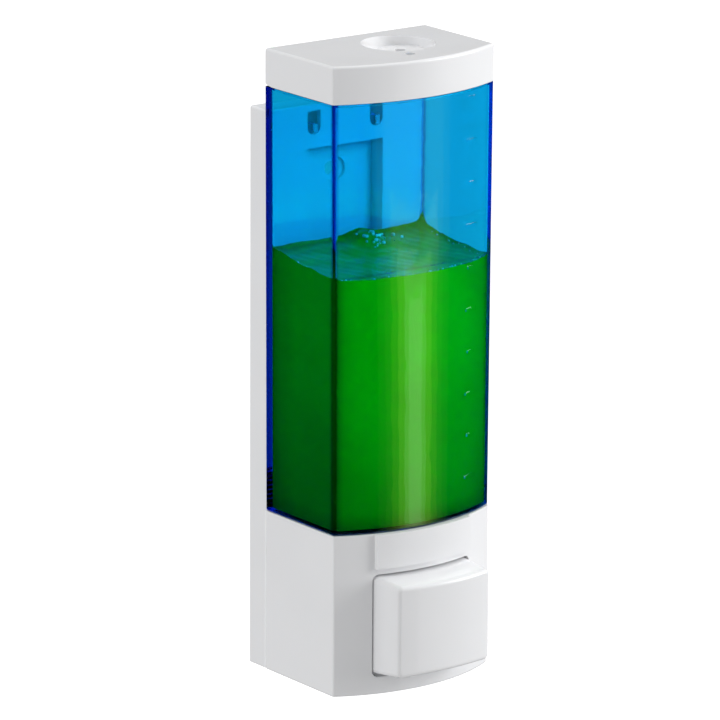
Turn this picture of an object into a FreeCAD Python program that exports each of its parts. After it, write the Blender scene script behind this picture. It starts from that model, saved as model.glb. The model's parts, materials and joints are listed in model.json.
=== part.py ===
"""Wall mounted soap dispenser with a clear tank, a push button pump and a hinged lid.

Millimetres. +X is to the right, -Y out of the wall, +Z up. The origin lies on the wall plane,
midway between the two wall screw holes. Heights in the list below are above the dispenser's base.
"""
import FreeCAD, Part
import math
import os

V = FreeCAD.Vector

# ---- driving dimensions -------------------------------------------------------------------------
OVERALL_H = 210.0
HOUSING_H = 54.7
CAP_H = 12.6
PLATE_T = 9.4            # from the wall to the back of the hanging body
SCREW_SPACING = 120.0

# width, depth of the flat side and bow of the front, at each level
CAP = (65.1, 36.65, 7.6)
TANK_TOP = (65.0, 36.6, 7.6)
TANK_FOOT = (63.5, 37.1, 8.3)
HOUSING = (63.7, 37.35, 8.4)

WALL = 2.2               # moulded wall of tank and housing
LID_WALL = 2.0
EDGE_R = 1.0             # upright edges at the front
BACK_EDGE_R = 0.5
GAP = 0.3                # between pieces that move past each other
RUNNING = 0.05           # radial clearance of a shaft in its bore

BUTTON_W = 39.0
BUTTON_H = 34.4
BUTTON_MID_H = 23.4
BUTTON_REACH = 11.8      # how far the button's front stands off the housing
PUMP_Y = -27.0           # spigot, valves and nozzle share one upright axis
# Y and height of the soap's surface: 139 at the front, higher at the back, as thick soap stands
GEL_TOP = ((-60.0, 139.1), (-46.0, 139.2), (-29.0, 140.5), (-11.0, 143.4), (-5.0, 144.4))

# ---- derived places -----------------------------------------------------------------------------
BASE_Z = -OVERALL_H / 2
BACK_Y = -PLATE_T
LID_FOOT_H = OVERALL_H - CAP_H
FAR = 2 * OVERALL_H      # reaches past the whole body
LAP = 1.0                # overlap of pieces that are fused, and overshoot of cutting tools
MIDDLE_Y = BACK_Y - 20   # parts the front edges from the back edges
FRONT_YS = (-40.0, -70.0)


def up(height):
    """Z of a height above the dispenser's base."""
    return BASE_Z + height


# ---- plain solids -------------------------------------------------------------------------------
def box(xs, ys, heights):
    """Box between two X, two Y and two heights, in any order."""
    x0, x1 = sorted(xs)
    y0, y1 = sorted(ys)
    h0, h1 = sorted(heights)
    return Part.makeBox(x1 - x0, y1 - y0, h1 - h0, V(x0, y0, up(h0)))


def rod_z(radius, x, y, h0, h1):
    """Upright cylinder between two heights."""
    return Part.makeCylinder(radius, h1 - h0, V(x, y, up(h0)), V(0, 0, 1))


def rod_y(radius, x, height, y0, y1):
    """Cylinder along Y."""
    low, high = sorted((y0, y1))
    return Part.makeCylinder(radius, high - low, V(x, low, up(height)), V(0, 1, 0))


def rod_x(radius, y, height, x0, x1):
    """Cylinder along X."""
    low, high = sorted((x0, x1))
    return Part.makeCylinder(radius, high - low, V(low, y, up(height)), V(1, 0, 0))


def cone_z(r0, r1, x, y, h0, h1):
    """Upright cone, radius r0 at h0 and r1 at h1."""
    return Part.makeCone(r0, r1, h1 - h0, V(x, y, up(h0)), V(0, 0, 1))


def cone_y(r0, r1, x, height, y, length):
    """Cone towards the front, radius r0 at y and r1 at its far end."""
    return Part.makeCone(r0, r1, length, V(x, y, up(height)), V(0, -1, 0))


def fuse(*solids):
    """One solid out of several that touch."""
    return solids[0].multiFuse(list(solids[1:])).removeSplitter()


def cut(solid, *tools):
    """A solid less every tool."""
    return solid.cut(Part.Compound(list(tools))) if tools else solid


# ---- the body's cross-section -------------------------------------------------------------------
def front_arc(section):
    """Radius of the bowed front and the Y of its centre."""
    width, side, bow = section
    radius = (width ** 2 / 4 + bow ** 2) / (2 * bow)
    return radius, BACK_Y - side - bow + radius


def front_y(section, x, inset=0.0):
    """Y of the bowed front at x."""
    radius, centre = front_arc(section)
    return centre - math.sqrt((radius - inset) ** 2 - x ** 2)


def outline(section, inset, height, back_inset):
    """Closed outline: flat back and sides, bowed front."""
    half = section[0] / 2 - inset
    back = BACK_Y - back_inset
    corner = front_y(section, half, inset)
    z = up(height)
    corners = [V(-half, back, z), V(half, back, z), V(half, corner, z), V(-half, corner, z)]
    apex = V(0, front_y(section, 0, inset), z)
    edges = [Part.LineSegment(a, b).toShape() for a, b in ((corners[0], corners[1]),
                                                         (corners[1], corners[2]))]
    edges.append(Part.Arc(corners[2], apex, corners[3]).toShape())
    edges.append(Part.LineSegment(corners[3], corners[0]).toShape())
    return Part.Wire(edges)


def prism(section, inset, h0, h1, back_inset=None):
    """Upright solid on the body's cross-section."""
    back = inset if back_inset is None else back_inset
    face = Part.Face(outline(section, inset, h0, back))
    return face.extrude(V(0, 0, h1 - h0))


def tapered(inset, h0, h1, back_inset=None):
    """Stretch of the tank's drafted form between two heights."""
    back = inset if back_inset is None else back_inset
    wires = []
    for height in (h0, h1):
        share = (height - HOUSING_H) / (LID_FOOT_H - HOUSING_H)
        section = tuple(a + (b - a) * share for a, b in zip(TANK_FOOT, TANK_TOP))
        wires.append(outline(section, inset, height, back))
    return Part.makeLoft(wires, True, True)


SAME = 1e-4
LONG = 5.0               # edges longer than this belong to a piece's main form


def is_upright(edge):
    """True for an edge that runs from low to high with little lean."""
    if len(edge.Vertexes) < 2:
        return False
    a, b = edge.Vertexes[0].Point, edge.Vertexes[-1].Point
    return abs(a.z - b.z) > LONG and math.hypot(a.x - b.x, a.y - b.y) < 0.02 * abs(a.z - b.z)


def round_upright(solid, front_r, back_r):
    """Round a prism's four upright edges."""
    for radius, wanted in ((front_r, lambda y: y < MIDDLE_Y), (back_r, lambda y: y > MIDDLE_Y)):
        edges = [e for e in solid.Edges if is_upright(e) and wanted(e.Vertexes[0].Point.y)]
        if radius and edges:
            solid = solid.makeFillet(radius, edges)
    return solid


def round_level(solid, height, radius):
    """Round the edges that lie flat at one height."""
    z = up(height)
    edges = [e for e in solid.Edges
             if abs(e.BoundBox.ZMin - z) < SAME and abs(e.BoundBox.ZMax - z) < SAME]
    return solid.makeFillet(radius, edges)


# ---- wall plate and hooks -----------------------------------------------------------------------
PLATE_INSET = 0.4        # the plate is this much narrower than the body on each side
PLATE_HALF = HOUSING[0] / 2 - PLATE_INSET
PLATE_FRONT_Y = BACK_Y + GAP
PLATE_FOOT_H = 0.0
PLATE_TOP_H = 189.2
PLATE_WALL = 1.8
PLATE_EDGE_R = 0.6
RIB_H = 2.0
RIB_HALF = 0.7
RIB_XS = (-24.0, 24.0)
RIB_HEIGHTS = (20.0, 75.0, 135.0)
RECESS_HALF = 14.8
RECESS_FOOT_H = 38.5
RECESS_TOP_H = 174.5            # the front panel runs on above it, over the same hollow
RECESS_FLOOR_Y = -3.0            # the screws bear here
SCREW_HOLE_R = 2.25
SCREW_SEAT_R = 4.0
SCREW_SEAT_DEPTH = 1.2
SCREW_HEIGHTS = (OVERALL_H / 2 - SCREW_SPACING / 2, OVERALL_H / 2 + SCREW_SPACING / 2)

HOOK_X = 12.0
LIFT = 4.0               # the body is lifted this far to come off its hooks
HOOK_HALF = 2.0
HOOK_TOP_H = 35.2
HOOK_ARM = 2.0
HOOK_LIP = 3.2
HOOK_LIP_T = 1.5
HOOK_SLOT_GAP = 0.4
HOOK_PLAY = 0.2          # between the arm and the slot's upper end

SLOT_HALF = 2.6
SLOT_FOOT_H = 179.0
SLOT_TOP_H = 186.9
HANGER_HALF = 1.2
HANGER_FOOT_GAP = 0.5
HANGER_TOP_GAP = 0.4             # left over a hanger when the body is lifted
HANGER_FOOT_H = SLOT_FOOT_H + HANGER_FOOT_GAP
HANGER_TOP_H = SLOT_TOP_H - LIFT - HANGER_TOP_GAP
HANGER_LIP = 2.4
HANGER_LIP_T = 1.5


def hook(x):
    """Arm and upturned lip on the plate's front, low down."""
    inner_y = BACK_Y - WALL - GAP
    tip_y = inner_y - HOOK_LIP_T
    xs = (x - HOOK_HALF, x + HOOK_HALF)
    arm = box(xs, (PLATE_FRONT_Y + LAP, tip_y), (HOOK_TOP_H - HOOK_ARM, HOOK_TOP_H))
    lip = box(xs, (inner_y, tip_y), (HOOK_TOP_H - HOOK_ARM, HOOK_TOP_H + HOOK_LIP))
    return fuse(arm, lip)


def hook_slot(x):
    """Space that a lower hook and its lift need in the rear cover."""
    half = HOOK_HALF + HOOK_SLOT_GAP
    foot = HOOK_TOP_H - HOOK_ARM - LIFT - GAP
    return box((x - half, x + half), (BACK_Y + LAP, BACK_Y - WALL - LAP), (foot, HOOK_TOP_H + HOOK_PLAY))


def hanger_slot(x):
    """Round-footed slot in the plate's front, for a hanger of the tank."""
    ys = (PLATE_FRONT_Y - LAP, PLATE_FRONT_Y + PLATE_WALL + LAP)
    mid_h = SLOT_FOOT_H + SLOT_HALF
    return fuse(box((x - SLOT_HALF, x + SLOT_HALF), ys, (mid_h, SLOT_TOP_H)), rod_y(SLOT_HALF, x, mid_h, *ys))


def hanger(x):
    """Arm and downturned lip on the tank's back, which hang in a slot."""
    lip_y = PLATE_FRONT_Y + PLATE_WALL + GAP
    tip_y = lip_y + HANGER_LIP_T
    xs = (x - HANGER_HALF, x + HANGER_HALF)
    arm = box(xs, (BACK_Y - LAP, tip_y), (HANGER_FOOT_H, HANGER_TOP_H))
    lip = box(xs, (lip_y, tip_y), (HANGER_FOOT_H - HANGER_LIP, HANGER_TOP_H))
    return fuse(arm, lip)


def wall_plate():
    """Shallow tray with a recess for the screws, ribs behind, two slots above and two hooks below."""
    tray = round_upright_box(box((-PLATE_HALF, PLATE_HALF), (0, PLATE_FRONT_Y), (PLATE_FOOT_H, PLATE_TOP_H)),
                             PLATE_EDGE_R)
    inner = PLATE_HALF - PLATE_WALL
    panel_y = PLATE_FRONT_Y + PLATE_WALL
    hollow = box((-inner, inner), (LAP, panel_y), (PLATE_FOOT_H + PLATE_WALL, PLATE_TOP_H - PLATE_WALL))
    well = RECESS_HALF + PLATE_WALL
    pieces = [cut(tray, hollow), box((-well, well), (0, PLATE_FRONT_Y + LAP / 2),
                                     (RECESS_FOOT_H - PLATE_WALL, PLATE_TOP_H - LAP))]
    rib_ys = (panel_y + RIB_H, panel_y - LAP)
    for x in RIB_XS:
        pieces.append(box((x - RIB_HALF, x + RIB_HALF), rib_ys, (PLATE_FOOT_H + LAP, PLATE_TOP_H - LAP)))
    for height in RIB_HEIGHTS:
        pieces.append(box((LAP - PLATE_HALF, PLATE_HALF - LAP), rib_ys,
                          (height - RIB_HALF, height + RIB_HALF)))
    for x in (-HOOK_X, HOOK_X):
        pieces.append(hook(x))
    recess_xs = (-RECESS_HALF, RECESS_HALF)
    tools = [box(recess_xs, (RECESS_FLOOR_Y, PLATE_FRONT_Y - LAP), (RECESS_FOOT_H, RECESS_TOP_H)),
             box(recess_xs, (RECESS_FLOOR_Y, panel_y), (RECESS_FOOT_H, PLATE_TOP_H - PLATE_WALL))]
    for height in SCREW_HEIGHTS:
        tools.append(rod_y(SCREW_HOLE_R, 0, height, LAP, PLATE_FRONT_Y - LAP))
        tools.append(rod_y(SCREW_SEAT_R, 0, height, RECESS_FLOOR_Y + SCREW_SEAT_DEPTH, PLATE_FRONT_Y))
    for x in (-HOOK_X, HOOK_X):
        tools.append(hanger_slot(x))
    return cut(fuse(*pieces), *tools)


def round_upright_box(solid, radius):
    """Round every outer edge of a plain box that doesn't lie on the wall plane."""
    edges = [e for e in solid.Edges if e.BoundBox.YMax < -SAME or e.BoundBox.YLength > LONG]
    return solid.makeFillet(radius, edges)


# ---- tank ---------------------------------------------------------------------------------------
SPIGOT_R = 8.0
SPIGOT_BORE_R = 5.0
SPIGOT_FOOT_H = 43.2
TANK_FLOOR = 2.6
RIM_H = 1.0                      # thicker band under the rim
RIM_LIP_H = 3.0
RIM_LIP_T = 1.0
LID_AXIS_Y = BACK_Y - 3.4
LID_AXIS_H = LID_FOOT_H + 7.0
KNUCKLE_R = 2.5
EAR_XS = (20.4, 24.4)
LUG_XS = (16.0, 20.0)
PIN_R = 1.2
PIN_END = 0.2                    # how far a pin stands out of its ear
CATCH_HALF = 5.0
CATCH_YS = (-48.2, -50.6)
INNER_EDGE_R = 0.8
LIP_YS = (BACK_Y + 5, BACK_Y - 12)   # the rim lip is left out at the hinge
MARK_COUNT = 10
MARK_PITCH = 14.1
MARK_FOOT_H = 67.8
MARK_X = 19.8
MARK_RISE = 0.4
MARK_T = 0.8
MARK_LENGTHS = (5.2, 3.4)
MARK_ROOT = 0.8                  # how deep a mark is rooted in the wall
TANK_FOOT_R = 0.8
BOSS_X = 17.0
SCREW_R = 1.5
GEL_CLEAR = 0.12
GEL_EDGE_R = 0.9
GASKET_R = 12.0
GASKET_T = 0.8
SPIGOT_PLAY = 0.1                # radial, round the spigot


def tank_ear(side):
    """Hinge ear that rises from the rear rim."""
    x0, x1 = (side * v for v in EAR_XS)
    eye = rod_x(KNUCKLE_R, LID_AXIS_Y, LID_AXIS_H, x0, x1)
    ys = (LID_AXIS_Y + KNUCKLE_R, LID_AXIS_Y - KNUCKLE_R)
    stalk = box((x0, x1), ys, (LID_FOOT_H - RIM_H, LID_AXIS_H))
    return fuse(eye, stalk)


def level_mark(index):
    """Raised bar on the front, long at every second mark."""
    length = MARK_LENGTHS[index % 2]
    height = MARK_FOOT_H + index * MARK_PITCH
    skin = tapered(-MARK_RISE, height - MARK_T / 2, height + MARK_T / 2)
    core = tapered(MARK_ROOT, height - MARK_T, height + MARK_T)
    window = box((MARK_X - length / 2, MARK_X + length / 2), FRONT_YS, (height - MARK_T, height + MARK_T))
    return cut(skin.common(window), core)


def tank():
    """Clear open-topped tank with hangers, hinge ears, rim lip and spigot."""
    outer = round_upright(tapered(0, HOUSING_H, LID_FOOT_H, 0), EDGE_R, BACK_EDGE_R)
    outer = round_level(outer, HOUSING_H, TANK_FOOT_R)
    floor = HOUSING_H + TANK_FLOOR
    inner = round_upright(tapered(WALL, floor, LID_FOOT_H - RIM_H), INNER_EDGE_R, INNER_EDGE_R)
    inner = round_level(inner, floor, INNER_EDGE_R - 0.1)
    lip_top = LID_FOOT_H + RIM_LIP_H
    lip = cut(prism(CAP, LID_WALL + GAP, LID_FOOT_H - 2 * LAP, lip_top),
              box((-FAR, FAR), LIP_YS, (LID_FOOT_H - 3 * LAP, FAR)))
    mouth = prism(CAP, LID_WALL + GAP + RIM_LIP_T, LID_FOOT_H - RIM_H - LAP / 10, lip_top + LAP)
    shell = cut(fuse(outer, lip), inner, mouth)
    catch = box((-CATCH_HALF, CATCH_HALF), CATCH_YS, (lip_top - 1, lip_top))
    hangers = [hanger(x) for x in (-HOOK_X, HOOK_X)]
    spigot = rod_z(SPIGOT_R, 0, PUMP_Y, SPIGOT_FOOT_H, HOUSING_H + LAP)
    ears = [tank_ear(side) for side in (-1, 1)]
    marks = [level_mark(index) for index in range(MARK_COUNT)]
    whole = fuse(shell, catch, spigot, *hangers, *ears, *marks)
    tools = [rod_z(SPIGOT_BORE_R, 0, PUMP_Y, SPIGOT_FOOT_H - LAP, floor + LAP)]
    tools.append(rod_x(PIN_R, LID_AXIS_Y, LID_AXIS_H, -EAR_XS[1] - LAP, EAR_XS[1] + LAP))
    return cut(whole, *tools)


def soap_gel():
    """Body of soap in the tank, a hair clear of the walls."""
    floor = HOUSING_H + TANK_FLOOR + GEL_CLEAR
    highest = GEL_TOP[-1][1]
    gel = round_upright(tapered(WALL + GEL_CLEAR, floor, highest), GEL_EDGE_R, GEL_EDGE_R)
    gel = round_level(gel, floor, GEL_EDGE_R - 0.1)
    ends = (GEL_TOP[0][0], GEL_TOP[-1][0])
    points = [V(-FAR, y, up(height)) for y, height in GEL_TOP]
    points += [V(-FAR, y, up(highest + LAP)) for y in reversed(ends)]
    above = Part.Face(Part.makePolygon(points + points[:1])).extrude(V(2 * FAR, 0, 0))
    return cut(gel, above)


def tank_gasket():
    """Flat ring between the tank's floor and the deck."""
    return cut(rod_z(GASKET_R, 0, PUMP_Y, HOUSING_H - GASKET_T, HOUSING_H),
               rod_z(SPIGOT_R + SPIGOT_PLAY, 0, PUMP_Y, HOUSING_H - LAP, HOUSING_H + LAP))


# ---- housing ------------------------------------------------------------------------------------
DECK_T = 2.4
FLOOR_T = 2.0
DECK_UNDER_H = HOUSING_H - DECK_T
NUT_T = 4.6
NUT_R = 11.5
NUT_PLAY = 0.02
OPENING_GAP = 0.35
FLANGE_LAP = 1.8
FLANGE_T = 1.6
PANEL_HALF = 19.2
PANEL_FOOT_H = 43.0
PANEL_RISE = 1.4
NOZZLE_HOLE_R = 7.0
OPENING_R = 2.2
RAIL_HALF_GAP = 3.0
RAIL_T = 1.6
RAIL_INNER_X = 23.2
RAIL_YS = (-47.0, -30.0)
PUMP_BOSS_R = 3.4
PUMP_BOSS_FOOT_H = 47.0
PUMP_SCREW_TOP_H = 51.0
PILOT_R = 1.2                    # holes that the screws cut their threads in
HOUSING_FOOT_R = 0.8
BUTTON_FOOT_H = BUTTON_MID_H - BUTTON_H / 2
BUTTON_TOP_H = BUTTON_MID_H + BUTTON_H / 2
COVER_BOSSES = ((-25.0, 8.0), (25.0, 8.0), (-25.0, 46.5), (25.0, 46.5))
COVER_BOSS_R = 3.4
COVER_BOSS_YS = (BACK_Y - WALL, BACK_Y - 14)
COVER_PILOT_DEPTH = 12.0
COVER_PLAY = 0.1
COUNTERSINK_R = 3.0
COUNTERSINK_H = 1.5
COVER_SCREW_HEAD_R = 2.9
COVER_SCREW_HEAD_H = 1.4
COVER_SCREW_CORE_R = 1.15
COVER_SCREW_END_Y = BACK_Y - 10
CROSS_HALF = 1.6
CROSS_T = 0.6
CROSS_DEPTH = 0.9


def rounded_window(half_w, h0, h1, radius, y0, y1):
    """Block along Y with its four long edges rounded."""
    block = box((-half_w, half_w), (y0, y1), (h0, h1))
    edges = [e for e in block.Edges if e.BoundBox.YLength > LONG]
    return block.makeFillet(radius, edges)


def guide_rails(side):
    """Pair of rails that a button lug slides between."""
    xs = (side * RAIL_INNER_X, side * (HOUSING[0] / 2 - LAP))
    rails = []
    for sign in (-1, 1):
        near = BUTTON_MID_H + sign * (RAIL_HALF_GAP + GAP)
        rails.append(box(xs, RAIL_YS, (near, near + sign * RAIL_T)))
    return rails


def housing():
    """White lower casing: deck, floor, bowed front with the button opening, open at the back."""
    outer = round_upright(prism(HOUSING, 0, 0, HOUSING_H, 0), EDGE_R, BACK_EDGE_R)
    outer = round_level(outer, 0, HOUSING_FOOT_R)
    inner = prism(HOUSING, WALL, FLOOR_T, DECK_UNDER_H, -LAP)
    pieces = [cut(outer, inner)]
    for x, height in COVER_BOSSES:
        pieces.append(rod_y(COVER_BOSS_R, x, height, *COVER_BOSS_YS))
        pieces.append(box((x, math.copysign(HOUSING[0] / 2 - LAP, x)), COVER_BOSS_YS,
                          (height - 1, height + 1)))
    for x in (-BOSS_X, BOSS_X):
        pieces.append(rod_z(PUMP_BOSS_R, x, PUMP_Y, PUMP_BOSS_FOOT_H, DECK_UNDER_H + LAP / 2))
    for side in (-1, 1):
        pieces.extend(guide_rails(side))
    panel = cut(prism(HOUSING, -PANEL_RISE, PANEL_FOOT_H, HOUSING_H), prism(HOUSING, LAP, 0, OVERALL_H))
    pieces.append(panel.common(box((-PANEL_HALF, PANEL_HALF), FRONT_YS, (PANEL_FOOT_H, HOUSING_H))))
    tools = [rounded_window(BUTTON_W / 2 + OPENING_GAP, BUTTON_FOOT_H - OPENING_GAP,
                            BUTTON_TOP_H + OPENING_GAP, OPENING_R, *FRONT_YS)]
    tools.append(rod_z(NOZZLE_HOLE_R, 0, PUMP_Y, -LAP, FLOOR_T + LAP))
    tools.append(rod_z(SPIGOT_R + SPIGOT_PLAY, 0, PUMP_Y, DECK_UNDER_H - LAP, HOUSING_H + LAP))
    tools.append(rod_z(GASKET_R + SPIGOT_PLAY, 0, PUMP_Y, HOUSING_H - GASKET_T, HOUSING_H + LAP))
    for x, height in COVER_BOSSES:
        tools.append(rod_y(PILOT_R, x, height, BACK_Y, BACK_Y - COVER_PILOT_DEPTH))
    for x in (-BOSS_X, BOSS_X):
        tools.append(rod_z(PILOT_R, x, PUMP_Y, PUMP_BOSS_FOOT_H - LAP, PUMP_SCREW_TOP_H + LAP))
    return cut(fuse(*pieces), *tools)


def rear_cover():
    """Flat cover that closes the housing's back and takes the lower hooks."""
    half = HOUSING[0] / 2 - WALL - COVER_PLAY
    plate = box((-half, half), (BACK_Y, BACK_Y - WALL), (FLOOR_T + COVER_PLAY, DECK_UNDER_H - COVER_PLAY))
    tools = [hook_slot(x) for x in (-HOOK_X, HOOK_X)]
    for x, height in COVER_BOSSES:
        tools.append(rod_y(SCREW_R + 0.15, x, height, BACK_Y + LAP, BACK_Y - WALL - LAP))
        tools.append(cone_y(COUNTERSINK_R, SCREW_R + COVER_PLAY, x, height, BACK_Y, COUNTERSINK_H))
    return cut(plate, *tools)


def rear_cover_screws():
    """Four countersunk screws with crossed slots."""
    screws = []
    for x, height in COVER_BOSSES:
        head = cone_y(COVER_SCREW_HEAD_R, SCREW_R, x, height, BACK_Y - COVER_PLAY, COVER_SCREW_HEAD_H)
        shank = rod_y(SCREW_R, x, height, BACK_Y - COVER_SCREW_HEAD_H, BACK_Y - WALL)
        core = rod_y(COVER_SCREW_CORE_R, x, height, BACK_Y - WALL + LAP / 5, COVER_SCREW_END_Y)
        slot_ys = (BACK_Y + LAP, BACK_Y - CROSS_DEPTH)
        slots = [box((x - a, x + a), slot_ys, (height - b, height + b))
                 for a, b in ((CROSS_HALF, CROSS_T / 2), (CROSS_T / 2, CROSS_HALF))]
        screws.append(cut(fuse(head, shank, core), *slots))
    return Part.Compound(screws)


def tank_nut():
    """Hexagonal nut that clamps the tank's spigot to the deck."""
    points = []
    for corner in range(7):
        angle = math.radians(60 * corner)
        points.append(V(NUT_R * math.cos(angle), PUMP_Y + NUT_R * math.sin(angle), up(DECK_UNDER_H - NUT_T)))
    hexagon = Part.Face(Part.makePolygon(points)).extrude(V(0, 0, NUT_T))
    return cut(hexagon, rod_z(SPIGOT_R + NUT_PLAY, 0, PUMP_Y, 0, OVERALL_H))


# ---- lid ----------------------------------------------------------------------------------------
LID_TOP = 2.0
LID_INNER_H = OVERALL_H - LID_TOP
LID_CLEARANCE = 0.2              # lid's foot over the tank's shoulder
LID_EDGE_R = 0.9
DISH_TOP = (7.0, -28.2, 12.3)        # x, y, radius at the lid's top
DISH_FOOT = (10.2, -25.8, 8.2)
DISH_DEPTH = 3.1
KEY_HOLES = ((10.0, -25.6), (0.0, -43.6))
KEY_HOLE_R = 1.8
COVER_SCREWS = ((-10.0, -23.0), (-10.0, -41.0), (17.5, -41.0))
COVER_SCREW_BOSS_R = 2.8
DISH_SKIN = 1.8
HINGE_PLAY = 0.4
BOLT_FOOT_H, BOLT_TOP_H = 202.7, 204.4
BOLT_XS = (-5.0, 14.0)
BOLT_YS = (-47.0, -21.0)
NOSE_HALF = 4.0
NOSE_YS = (-44.6, -42.4)
NOSE_FOOT_H = 197.9
BARB_Y = -47.1
BARB_TOP_H = 199.1
DIMPLE_R = 1.5
DIMPLE_FOOT_H = 203.7
BOLT_COVER_XS = (-12.8, 20.3)
BOLT_COVER_YS = (-43.8, -20.2)
BOLT_COVER_FOOT_H, BOLT_COVER_TOP_H = 200.9, 202.2
GUIDE_TOP_H = 204.3
GUIDES = (((-6.9, -5.3), (-43.0, -21.0)), ((14.3, 15.9), (-38.0, -21.0)))
NOSE_NOTCH_HALF = 4.6
NOSE_NOTCH_YS = (-45.0, -41.6)
SMALL_SCREW_R = 0.95
SMALL_PILOT_R = 1.0
SMALL_HEAD_R = 2.4
SMALL_HEAD_H = 1.3
SMALL_SCREW_TOP_H = 206.0
SLOT_T = 0.6
SLOT_DEPTH = 0.5


def dish(grow):
    """Oblique cone of the lid's dish, grown outwards for the skin under it."""
    x0, y0, r0 = DISH_TOP
    x1, y1, r1 = DISH_FOOT
    top = Part.Wire(Part.makeCircle(r0 + grow, V(x0, y0, up(OVERALL_H)), V(0, 0, 1)))
    foot = Part.Wire(Part.makeCircle(r1 + grow, V(x1, y1, up(OVERALL_H - DISH_DEPTH - grow)), V(0, 0, 1)))
    return Part.makeLoft([top, foot], True, True)


def lid():
    """White cap with a scooped dish, two key holes, hinge lugs and a notched rear skirt."""
    foot = LID_FOOT_H + LID_CLEARANCE
    outer = round_upright(prism(CAP, 0, foot, OVERALL_H, 0), EDGE_R, BACK_EDGE_R)
    outer = round_level(outer, OVERALL_H, LID_EDGE_R)
    inner = prism(CAP, LID_WALL, LID_FOOT_H - LAP, LID_INNER_H)
    shell = cut(outer, inner)
    skin = cut(dish(DISH_SKIN), box((-FAR, FAR), (0, -FAR), (LID_INNER_H + LAP, FAR)))
    pieces = [shell, skin]
    for x, y in COVER_SCREWS:
        pieces.append(rod_z(COVER_SCREW_BOSS_R, x, y, BOLT_COVER_TOP_H + COVER_PLAY, LID_INNER_H + LAP / 2))
    for side in (-1, 1):
        xs = [side * v for v in LUG_XS]
        pieces.append(rod_x(KNUCKLE_R, LID_AXIS_Y, LID_AXIS_H, *xs))
        pieces.append(box(xs, (LID_AXIS_Y + KNUCKLE_R, LID_AXIS_Y - KNUCKLE_R),
                          (LID_AXIS_H, LID_INNER_H + LAP / 2)))
    tools = [dish(0)]
    behind_axis = box((-FAR, FAR), (BACK_Y + LAP, LID_AXIS_Y), (LID_FOOT_H - LONG, LID_AXIS_H))
    swing_r = LID_AXIS_H - LID_FOOT_H - GAP
    tools.append(cut(behind_axis, rod_x(swing_r, LID_AXIS_Y, LID_AXIS_H, -FAR - LAP, FAR + LAP)))
    ear_ys = (BACK_Y + LAP, LID_AXIS_Y - KNUCKLE_R - HINGE_PLAY)
    for side in (-1, 1):
        xs = (side * (EAR_XS[0] - HINGE_PLAY), side * (EAR_XS[1] + HINGE_PLAY))
        tools.append(box(xs, ear_ys, (LID_FOOT_H - LAP, LID_INNER_H - LAP / 2)))
    for x, y in KEY_HOLES:
        tools.append(rod_z(KEY_HOLE_R, x, y, BOLT_COVER_TOP_H, OVERALL_H + LAP))
    for x, y in COVER_SCREWS:
        tools.append(rod_z(SMALL_PILOT_R, x, y, BOLT_COVER_FOOT_H, SMALL_SCREW_TOP_H + LAP / 2))
    tools.append(rod_x(PIN_R + RUNNING, LID_AXIS_Y, LID_AXIS_H, -LUG_XS[1] - LAP, LUG_XS[1] + LAP))
    return cut(fuse(*pieces), *tools)


def lid_hinge_pins():
    """Two pins, pressed into the tank's ears and free in the lid's lugs."""
    pins = []
    for side in (-1, 1):
        pins.append(rod_x(PIN_R, LID_AXIS_Y, LID_AXIS_H, side * LUG_XS[0], side * (EAR_XS[1] + PIN_END)))
    return Part.Compound(pins)


def lid_bolt():
    """Sliding bolt under the key holes, with a barbed nose."""
    plate = box(BOLT_XS, BOLT_YS, (BOLT_FOOT_H, BOLT_TOP_H))
    nose = box((-NOSE_HALF, NOSE_HALF), NOSE_YS, (NOSE_FOOT_H, BOLT_TOP_H))
    barb = box((-NOSE_HALF, NOSE_HALF), (BARB_Y, NOSE_YS[1]), (NOSE_FOOT_H, BARB_TOP_H))
    dimples = [rod_z(DIMPLE_R, x, y + 1, DIMPLE_FOOT_H, BOLT_TOP_H + LAP) for x, y in KEY_HOLES]
    return cut(fuse(plate, nose, barb), *dimples)


def bolt_cover():
    """Plate that carries the bolt under the lid."""
    plate = box(BOLT_COVER_XS, BOLT_COVER_YS, (BOLT_COVER_FOOT_H, BOLT_COVER_TOP_H))
    guides = [box(xs, ys, (BOLT_COVER_TOP_H - COVER_PLAY, GUIDE_TOP_H)) for xs, ys in GUIDES]
    heights = (BOLT_COVER_FOOT_H - LAP, BOLT_COVER_TOP_H + LAP)
    tools = [rod_z(SCREW_R, x, y, *heights) for x, y in COVER_SCREWS]
    tools.append(box((-NOSE_NOTCH_HALF, NOSE_NOTCH_HALF), NOSE_NOTCH_YS, heights))
    return cut(fuse(plate, *guides), *tools)


def bolt_cover_screws():
    """Three small screws from below."""
    screws = []
    for x, y in COVER_SCREWS:
        foot = BOLT_COVER_FOOT_H - SMALL_HEAD_H
        head = rod_z(SMALL_HEAD_R, x, y, foot, BOLT_COVER_FOOT_H)
        shank = rod_z(SMALL_SCREW_R, x, y, BOLT_COVER_FOOT_H, SMALL_SCREW_TOP_H)
        slot = box((x - SMALL_HEAD_R, x + SMALL_HEAD_R), (y - SLOT_T / 2, y + SLOT_T / 2),
                   (foot - LAP, foot + SLOT_DEPTH))
        screws.append(cut(fuse(head, shank), slot))
    return Part.Compound(screws)


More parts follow.
